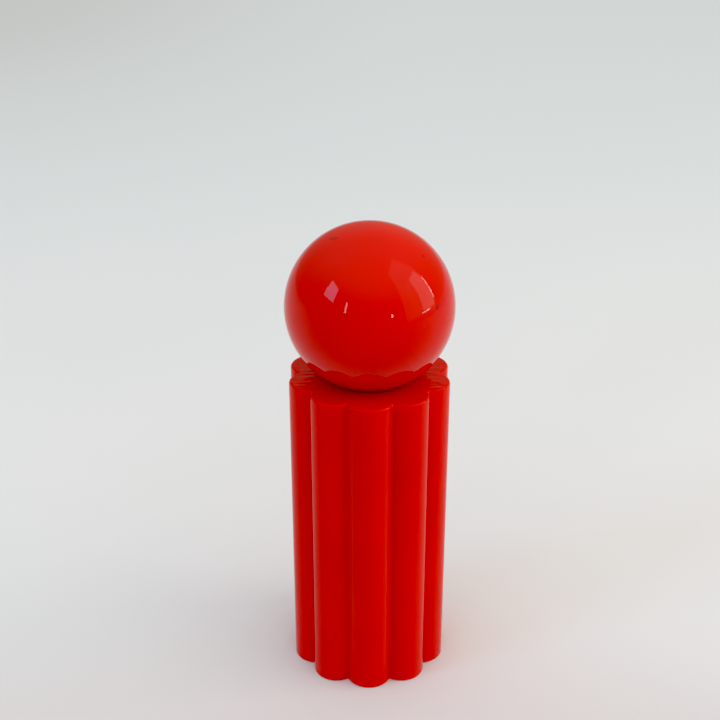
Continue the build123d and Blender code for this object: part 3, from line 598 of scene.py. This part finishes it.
def shaft_grid():
    """Rows up the shaft: a threaded round foot, then a square outline cut back at the groove and tip.

    Every row has its points on the same headings as the square's outline.
    """
    flat = np.linspace(-1, 1, 13) * (HALF - SHAFT_CORNER)
    side = np.column_stack([np.full(13, HALF), flat])
    bevel = line((HALF, HALF - SHAFT_CORNER), (HALF - SHAFT_CORNER, HALF), 3)[1:]
    side = np.concatenate([side, bevel])
    square = np.concatenate([side @ np.array([[cos(a), sin(a)], [-sin(a), cos(a)]])
                             for a in (0, pi / 2, pi, 3 * pi / 2)])
    reach = np.linalg.norm(square, axis=1)
    angle = np.arctan2(square[:, 1], square[:, 0])

    def row(radius, height):
        radius = np.broadcast_to(radius, angle.shape)
        return np.column_stack([radius * np.cos(angle), radius * np.sin(angle), np.full(len(angle), height)])

    crest, root, pitch = THREAD
    groove_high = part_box("shaft_end_clip")[1][2]
    neck = 1.9 * MM
    square_low = 9.2 * MM
    thread_end = square_low - pitch / 2
    rows = [row(0, SHAFT_LOW), row(neck - 0.2 * MM, SHAFT_LOW), row(neck, SHAFT_LOW + 0.2 * MM)]
    rows += [row(neck, groove_high)]
    for height in np.linspace(groove_high, thread_end, 110):
        fade = min((height - groove_high) / pitch, (thread_end - height) / pitch, 1)
        rows.append(row(root + (crest - root) * fade * ridge(height, angle, pitch, 0.42), height))
    rows += [row(root, square_low), row(reach, square_low)]
    clip_low, clip_high = (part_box("shaft_clip")[i][2] for i in (0, 1))
    rows += [row(reach, height) for height in np.linspace(square_low, clip_low, 6)[1:]]
    rows += [row(np.minimum(reach, 3.5 * MM), height) for height in (clip_low, clip_high)]
    bevel = 0.8 * MM
    rows += [row(reach, height) for height in np.linspace(clip_high, SHAFT_TIP - bevel, 14)]
    rows += [row(reach * (1 - bevel / HALF), SHAFT_TIP), row(0, SHAFT_TIP)]
    return np.array(rows)


shaft = skin("threaded_shaft", shaft_grid(), crease=30)
aluminium = metal("drawn_aluminium", (5200, 5200, 90), (0.80, 0.81, 0.82, 1), (0.60, 0.61, 0.62, 1), 0.27)
shaft.data.materials.append(aluminium)
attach(shaft, "shaft")
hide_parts("shaft")

# ------------------------------------------------------------------ screws
# Countersunk, cross-slotted, zinc-plated self-tapping screws: three hold the housing in the foot and
# two, smaller, hold the socket in the tenon.
def screw_grid(head, thread, core, length, pitch):
    """Rows from the middle of the head's face out, then up the neck and the thread to the point.

    The face sinks where a point lies within an arm of the cross, with sloping walls. The shank's
    radius is the core's plus a helical ridge, and both taper to the point.
    """
    angle = np.linspace(0, 2 * pi, 96, endpoint=False)
    radius = np.linspace(0, head * 0.97, 26)[:, None]
    x, y = radius * np.cos(angle), radius * np.sin(angle)
    near, far = np.minimum(np.abs(x), np.abs(y)), np.maximum(np.abs(x), np.abs(y))
    sunk = np.clip((0.17 * head - near) / (0.06 * head), 0, 1)
    sunk = sunk * np.clip((0.64 * head - far) / (0.14 * head), 0, 1)
    face = np.stack([x, y, 0.45 * head * sunk], axis=-1)
    rim = 0.3 * MM
    neck = rim + head - thread
    height = np.linspace(neck, length, 150)[:, None]
    left = length - height
    shank = core * np.clip(left / (1.8 * core), 0, 1)
    grown = np.clip(left / (2.5 * core), 0, 1) * np.clip((height - neck) / pitch, 0, 1)
    shank = shank + (thread - core) * grown * ridge(height, angle[None], pitch, 0.3)
    edge = np.array([(head, 0.03 * head), (head, rim), (core, neck)])
    radius = np.concatenate([np.repeat(edge[:, :1], 96, axis=1), shank])
    height = np.concatenate([edge[:, 1:], height]) * np.ones(96)
    side = np.stack([radius * np.cos(angle), radius * np.sin(angle), height], axis=-1)
    return np.concatenate([face, side])


def set_round(grid, circle, base, count, start):
    """Copies of a grid, moved out to a circle about the axis and turned evenly round it."""
    moved = grid + [circle, 0, base]
    copies = []
    for angle in radians(start) + 2 * pi * np.arange(count) / count:
        turn = np.array([[cos(angle), sin(angle), 0], [-sin(angle), cos(angle), 0], [0, 0, 1]])
        copies.append(moved @ turn)
    return copies


zinc = metal("zinc_plating", (900, 900, 900), (0.66, 0.67, 0.68, 1), (0.47, 0.47, 0.46, 1), 0.24)
foot_screw = screw_grid(2.3 * MM, 1.3 * MM, 0.95 * MM, 10 * MM, 1.0 * MM)
foot_screws = skin("housing_screws_threaded",
                   *set_round(foot_screw, 18.7 * MM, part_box("housing_screws")[0][2], 3, 90), crease=35)
head_screw = screw_grid(1.7 * MM, 1.0 * MM, 0.7 * MM, 8 * MM, 0.8 * MM)
head_screws = skin("socket_screws_threaded",
                   *set_round(head_screw, 9.85 * MM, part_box("socket_screws")[0][2], 2, 0), crease=35)
screw_sets = ((foot_screws, "housing_screws", "body"), (head_screws, "socket_screws", "head"))
for screws, part, carrier in screw_sets:
    screws.data.materials.append(zinc)
    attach(screws, carrier)
    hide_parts(part)

# ------------------------------------------------------------------ ceramic burrs
# Pressed and fired white alumina, unglazed. The ring stands still in the housing, the cone turns in
# it; slanting teeth grind in the lower zone, and six deep flutes on the cone crack the corns first.
CONE_TEETH = RING_TEETH = 30
TOOTH_DEPTH = 0.8 * MM
TOOTH_LEAN = tan(radians(18))
FLUTE_LEAN = tan(radians(32))
RING_LOW, RING_TOP = (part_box("grinding_ring")[i][2] for i in (0, 1))
RING_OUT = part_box("grinding_ring")[1][0]
CONE_LOW, CONE_TOP = (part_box("grinding_cone")[i][2] for i in (0, 1))
THROAT = 15.5 * MM  # level where the fine zone ends


def teeth(angle, height, count, lean, radius):
    """Saw of slanting grooves, 0 at a crest and 1 at a root, steep on one flank and long on the other."""
    phase = (count * (angle + lean * (height - THROAT) / radius) / (2 * pi)) % 1.0
    return np.minimum(phase / 0.72, (1 - phase) / 0.28)


def ring_grid():
    """Closed rows of the ring: its underside out, the outside up, the top in and the toothed bore down.

    The bore narrows in a straight line to the throat and widens above it; the teeth fade out over
    the throat. Four key slots are cut into the outside's top edge, at 45 degrees to the arms.
    """
    angle = np.linspace(0, 2 * pi, RING_TEETH * 16, endpoint=False)
    diagonal = angle % (pi / 2) - pi / 4
    keyed = np.abs(np.sin(diagonal)) * RING_OUT < 1.5 * MM

    def row(radius, height):
        radius = np.broadcast_to(radius, angle.shape)
        return np.column_stack([radius * np.cos(angle), radius * np.sin(angle), np.full(len(angle), height)])

    slot_floor = RING_TOP - 1.6 * MM
    slotted = np.where(keyed, RING_OUT - 1.2 * MM, RING_OUT)
    rows = [row(RING_OUT - 0.2 * MM, RING_LOW), row(RING_OUT, RING_LOW + 0.2 * MM), row(RING_OUT, slot_floor)]
    rows += [row(slotted, slot_floor), row(slotted, RING_TOP), row(12.2 * MM, RING_TOP)]
    for height in np.linspace(RING_TOP, RING_LOW, 45)[1:]:
        above = max(height - THROAT, 0) / (RING_TOP - THROAT)
        below = max(THROAT - height, 0) / (THROAT - RING_LOW)
        bore = 10.75 * MM + 1.45 * MM * above + 1.25 * MM * below
        depth = TOOTH_DEPTH * np.clip((THROAT + 2 * MM - height) / (2.5 * MM), 0, 1)
        rows.append(row(bore + depth * teeth(angle, height, RING_TEETH, TOOTH_LEAN, bore), height))
    return np.array(rows)


def cone_grid():
    """Closed rows of the cone: its underside out, the toothed flank up, the top in, the pocket down.

    The flank's crests follow the ring's bore at a small gap, then a cone. Six flutes with round
    floors wind down it and fade out in the fine zone. The core's hole is a hexagon.
    """
    angle = np.linspace(0, 2 * pi, CONE_TEETH * 16, endpoint=False)
    hexagon = 4.83 * MM / np.cos(angle % (pi / 3) - pi / 6)

    def row(radius, height):
        radius = np.broadcast_to(radius, angle.shape)
        return np.column_stack([radius * np.cos(angle), radius * np.sin(angle), np.full(len(angle), height)])

    shoulder, rim = 10.3 * MM, 7.4 * MM
    profile = np.concatenate([
        line((11.6 * MM, CONE_LOW), (10.47 * MM, THROAT), 22),
        line((10.47 * MM, THROAT), (shoulder, THROAT + 0.2 * MM), 2),
        line((shoulder, THROAT + 0.2 * MM), (rim, CONE_TOP - 0.4 * MM), 20),
        arc((rim - 0.4 * MM, CONE_TOP - 0.4 * MM), 0.4 * MM, 0, 90, 6),
    ])
    rows = [row(hexagon, CONE_LOW)]
    for radius, height in profile:
        fine = TOOTH_DEPTH * np.clip((THROAT + 0.3 * MM - height) / (0.6 * MM), 0, 1)
        cut = fine * teeth(-angle, height, CONE_TEETH, TOOTH_LEAN, radius)
        phase = (6 * (angle - FLUTE_LEAN * (height - THROAT) / radius) / (2 * pi)) % 1.0
        flute = np.sqrt(np.clip(1 - ((phase - 0.5) / 0.32) ** 2, 0, 1))
        fade = np.clip((height - CONE_LOW - 1.5 * MM) / (3.5 * MM), 0, 1) * (height < CONE_TOP - 0.01 * MM)
        rows.append(row(radius - np.maximum(cut, 1.25 * MM * fade * flute), height))
    pocket = 15 * MM
    rows += [row(5.5 * MM, CONE_TOP), row(5.5 * MM, pocket), row(hexagon, pocket)]
    return np.array(rows)


fired, given, result = new_group(
    "fired_grain", {"Place": (VECTOR, (0, 0, 0))}, {"Colour": COLOUR, "Roughness": FLOAT, "Height": FLOAT},
)
crystal = add(fired, "TexNoise", {"Vector": given["Place"], "Scale": 5200, "Detail": 3}).outputs[0]
pit = add(fired, "TexVoronoi", {"Vector": given["Place"], "Scale": 1700, "Randomness": 1.0})
pit_mask = ramp(fired, pit.outputs["Distance"], 0.22, 0.10)
warm = add(fired, "TexNoise", {"Vector": given["Place"], "Scale": 150, "Detail": 3}).outputs[0]
tone = blend_colour(fired, ramp(fired, warm, 0.3, 0.7), (0.84, 0.83, 0.79, 1), (0.78, 0.76, 0.70, 1))
tone = blend_colour(fired, calc(fired, "MULTIPLY", pit_mask, 0.5), tone, (0.45, 0.40, 0.33, 1))
fired.links.new(tone, result.inputs["Colour"])
fired.links.new(ramp(fired, crystal, 0.3, 0.7, 0.42, 0.60), result.inputs["Roughness"])
fired.links.new(calc(fired, "SUBTRACT", crystal, pit_mask), result.inputs["Height"])

ceramic, tree, shader, place = new_material("white_ceramic")
burr = group(tree, fired, Place=place)
settled = group(tree, dust, Place=place, Amount=0.55)
tree.links.new(blend_colour(tree, settled["Mask"], burr["Colour"], SPICE), shader.inputs["Base Color"])
tree.links.new(calc(tree, "MAXIMUM", burr["Roughness"], settled["Mask"]), shader.inputs["Roughness"])
relief(tree, shader, calc(tree, "MULTIPLY_ADD", settled["Grains"], 3.0, burr["Height"]), 0.4, 0.02 * MM)
shader.inputs["IOR"].default_value = 1.6

burr_ring = skin("grinding_ring_toothed", ring_grid(), ring=True, crease=25)
burr_cone = skin("grinding_cone_toothed", cone_grid(), ring=True, crease=25)
for burrs, part, carrier in ((burr_ring, "grinding_ring", "body"), (burr_cone, "grinding_cone", "cone")):
    burrs.data.materials.append(ceramic)
    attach(burrs, carrier)
    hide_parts(part)

# ------------------------------------------------------------------ adjuster knob and its insert
# A thumb knob of black plastic with fourteen finger scallops, polished where fingers turn it. A ring
# and six growing dots, sunk in its face and filled with pale paint, run from fine to coarse; a brass
# nut moulded into it takes the shaft's thread.
KNOB_LOW, KNOB_HIGH = (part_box("adjuster_knob")[i][2] for i in (0, 1))
KNOB_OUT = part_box("adjuster_knob")[1][1]
KNOB_RIM = KNOB_HIGH - 0.5 * MM
MARK_DEPTH = 0.3 * MM


def knob_grid():
    """Closed rows of the knob: its face out from the counterbore, the rim up, the back in, the bore down.

    The rim is a circle cut back by fourteen circles about points just outside it, and its edges are
    rounded by moving rows inwards. The face sinks along a ring and at six dots.
    """
    angle = np.linspace(0, 2 * pi, 14 * 40, endpoint=False)
    off = (angle + pi / 14) % (2 * pi / 14) - pi / 14
    circle, cutter = 11.4 * MM, 1.7 * MM
    inside = np.clip(cutter**2 - (circle * np.sin(off)) ** 2, 0, None)
    rim = np.minimum(KNOB_OUT, np.where(inside > 0, circle * np.cos(off) - np.sqrt(inside), KNOB_OUT))

    def row(radius, height):
        radius = np.broadcast_to(radius, angle.shape)
        height = np.broadcast_to(height, angle.shape)
        return np.column_stack([radius * np.cos(angle), radius * np.sin(angle), height])

    def sunk(radius):
        """How far the face is sunk at a radius, 0 to 1, round the knob."""
        ring_mark = np.clip((0.3 * MM - abs(radius - 7.9 * MM)) / (0.06 * MM), 0, 1) * np.ones(len(angle))
        for index in range(6):
            turn = radians(150 + 24 * index)
            x = radius * np.cos(angle) - 6.1 * MM * cos(turn)
            y = radius * np.sin(angle) - 6.1 * MM * sin(turn)
            inwards = (0.22 + 0.09 * index) * MM - np.hypot(x, y)
            ring_mark = np.maximum(ring_mark, np.clip(inwards / (0.06 * MM) + 0.5, 0, 1))
        return ring_mark

    bevel = 0.8 * MM
    smallest = float(rim.min()) - bevel
    rows = [row(radius, KNOB_LOW + MARK_DEPTH * sunk(radius))
            for radius in np.linspace(4.4 * MM, smallest, 72)]
    for turn in np.linspace(0, pi / 2, 9):
        rows.append(row(rim - bevel * (1 - sin(turn)), KNOB_LOW + bevel * (1 - cos(turn))))
    for turn in np.linspace(0, pi / 2, 9):
        rows.append(row(rim - bevel * (1 - cos(turn)), KNOB_RIM - bevel * (1 - sin(turn))))
    hexagon = 4.0 * MM / np.cos(angle % (pi / 3) - pi / 6)
    nut_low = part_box("knob_insert")[0][2]
    rows += [row(5.9 * MM, KNOB_RIM), row(5.9 * MM, KNOB_HIGH - 0.1 * MM), row(5.8 * MM, KNOB_HIGH)]
    rows += [row(hexagon, KNOB_HIGH), row(hexagon, nut_low), row(4.4 * MM, nut_low)]
    return np.array(rows)


knob = skin("adjuster_knob_scalloped", knob_grid(), ring=True, crease=35)
places = np.empty(len(knob.data.vertices) * 3)
knob.data.vertices.foreach_get("co", places)
places = places.reshape(-1, 3)
distance = np.hypot(places[:, 0], places[:, 1])
on_face = (places[:, 2] < KNOB_LOW + 1.01 * MARK_DEPTH) & (distance < 9.3 * MM)
paint = knob.data.attributes.new("paint", "FLOAT", "POINT")
paint.data.foreach_set("value", np.where(on_face, (places[:, 2] - KNOB_LOW) / MARK_DEPTH, 0))

knob_plastic, tree, shader, place = new_material("knob_plastic")
surface = group(tree, skin_tone, Place=place, Tint=(0.052, 0.052, 0.055, 1), Shade=(0.042, 0.042, 0.045, 1),
                Texture=4200.0, Shine=0.36)
radius, height = from_axis(tree, place)
handled = ramp(tree, radius, 8.6 * MM, 10.2 * MM)
filled = ramp(tree, add(tree, "Attribute", attribute_name="paint").outputs["Fac"], 0.45, 0.75)
colour = blend_colour(tree, filled, surface["Colour"], (0.72, 0.70, 0.64, 1))
tree.links.new(colour, shader.inputs["Base Color"])
polished = calc(tree, "MULTIPLY_ADD", handled, -0.14, surface["Roughness"])
tree.links.new(polished, shader.inputs["Roughness"])
relief(tree, shader, surface["Height"], 0.3, 0.02 * MM)
knob.data.materials.append(knob_plastic)
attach(knob, "knob")
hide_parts("adjuster_knob")

brass = metal("turned_brass", (5200, 5200, 0), (0.78, 0.56, 0.24, 1), (0.52, 0.34, 0.15, 1), 0.22, True)
finish_node(brass, "knob_insert")

# ------------------------------------------------------------------ floor, daylight and windows
# A pale tabletop in an even, bright room. Its colour carries painted shade: darker towards the far left,
# cooler towards the back, and darker in front of the mill. The gloss ball mirrors two windows on the
# left, a screened opening with a bright edge on the right, and a small far lamp.
floor_mesh = bpy.data.meshes.new("floor")
floor_mesh.from_pydata([(-6, -6, 0), (6, -6, 0), (6, 6, 0), (-6, 6, 0)], [], [(0, 1, 2, 3)])
floor = bpy.data.objects.new("floor", floor_mesh)
bpy.context.scene.collection.objects.link(floor)
table, tree, shader, place = new_material("pale_table")
cloud = add(tree, "TexNoise", {"Vector": place, "Scale": 3.0, "Detail": 3}).outputs[0]
tint = blend_colour(tree, ramp(tree, cloud, 0.3, 0.7), (0.70, 0.73, 0.742, 1), (0.72, 0.75, 0.762, 1))
across = add(tree, "SeparateXYZ", {0: place}).outputs
# Painted shade: the floor turns cooler, with less red, towards the back.
tint = blend_colour(tree, ramp(tree, across[1], 0.1, 0.7), tint, (0.665, 0.73, 0.75, 1))
# Painted shade: the floor darkens towards the far left.
far_left_painted_shade = calc(tree, "MULTIPLY", ramp(tree, across[0], 0.1, -0.5), ramp(tree, across[1], 0.3, 1.2))
tint = blend_colour(tree, far_left_painted_shade, tint, (0.575, 0.615, 0.62, 1))
# Painted shade: the floor darkens in front of the mill and towards the camera.
near_painted_shade = ramp(tree, across[1], 0.02, -0.09)
tint = blend_colour(tree, near_painted_shade, tint, (0.62, 0.61, 0.615, 1))
tree.links.new(tint, shader.inputs["Base Color"])
shader.inputs["Roughness"].default_value = 0.6
shader.inputs["Specular IOR Level"].default_value = 0.2
floor.data.materials.append(table)

world = bpy.data.worlds.new("room")
world.use_nodes = True
tree = world.node_tree
tree.nodes.clear()
way = add(tree, "SeparateXYZ", {0: add(tree, "TexCoord").outputs["Generated"]}).outputs
up = ramp(tree, way[2], 0.05, 0.95)
side = ramp(tree, way[0], -1.0, 1.0)
walls = blend_colour(tree, side, (0.47, 0.46, 0.45, 1), (0.73, 0.65, 0.56, 1))
room = blend_colour(tree, up, walls, (1.28, 1.26, 1.25, 1))
behind = ramp(tree, way[1], 0.1, 0.75)
room = blend_colour(tree, behind, room, (0.76, 0.71, 0.65, 1), "MULTIPLY")
seen = add(tree, "LightPath").outputs["Is Camera Ray"]
room = blend_colour(tree, seen, room, (0.70, 0.72, 0.72, 1))
sky = add(tree, "Background", {"Color": room, "Strength": 0.915})
add(tree, "OutputWorld", {"Surface": sky.outputs[0]})
bpy.context.scene.world = world


def pane(name, middle, wide, high, facing, glow):
    """Upright rectangular area light, facing along X, whose radiance is glow."""
    light = bpy.data.lights.new(name, "AREA")
    light.shape = "RECTANGLE"
    light.size, light.size_y = wide, high
    light.color = [part / max(glow) for part in glow]
    light.energy = max(glow) * wide * high * pi
    lamp = bpy.data.objects.new(name, light)
    lamp.location = middle
    lamp.rotation_euler = (radians(90), 0, radians(-90 if facing > 0 else 90))
    bpy.context.scene.collection.objects.link(lamp)
    return lamp


LEFT_WALL, RIGHT_WALL = -1.5, 1.2
pane("left_window", (LEFT_WALL, -0.83, 1.15), 0.64, 0.72, 1, (1.9, 3.4, 5.2))
pane("left_narrow_window", (LEFT_WALL, -2.30, 1.03), 0.26, 0.68, 1, (9.0, 7.6, 8.2))
pane("right_surround", (RIGHT_WALL + 0.02, -0.50, 1.50), 1.34, 2.94, -1, (0.30, 0.27, 0.24))
pane("right_screen", (RIGHT_WALL, -0.50, 1.50), 1.20, 2.80, -1, (0.30, 0.25, 0.18))
pane("right_opening_near", (RIGHT_WALL - 0.01, -0.54, 0.66), 0.38, 1.00, -1, (0.22, 0.16, 0.10))
pane("right_opening_far", (RIGHT_WALL - 0.01, -0.13, 0.66), 0.44, 1.00, -1, (1.65, 1.45, 1.30))
pane("right_frame_edge", (RIGHT_WALL - 0.02, 0.12, 0.55), 0.035, 0.55, -1, (12, 10, 9))
pane("right_sill_edge", (RIGHT_WALL - 0.02, -0.27, 0.14), 0.34, 0.02, -1, (16, 14, 13))
pane("far_lamp", (1.40, -2.50, 0.56), 0.22, 0.20, -1, (26, 22, 22))

scene = bpy.context.scene
scene.view_settings.view_transform = "Standard"
scene.view_settings.look = "None"
scene.view_settings.use_curve_mapping = True
scene.view_settings.curve_mapping.black_level = (0.023, 0.023, 0.023)
scene.view_settings.curve_mapping.update()
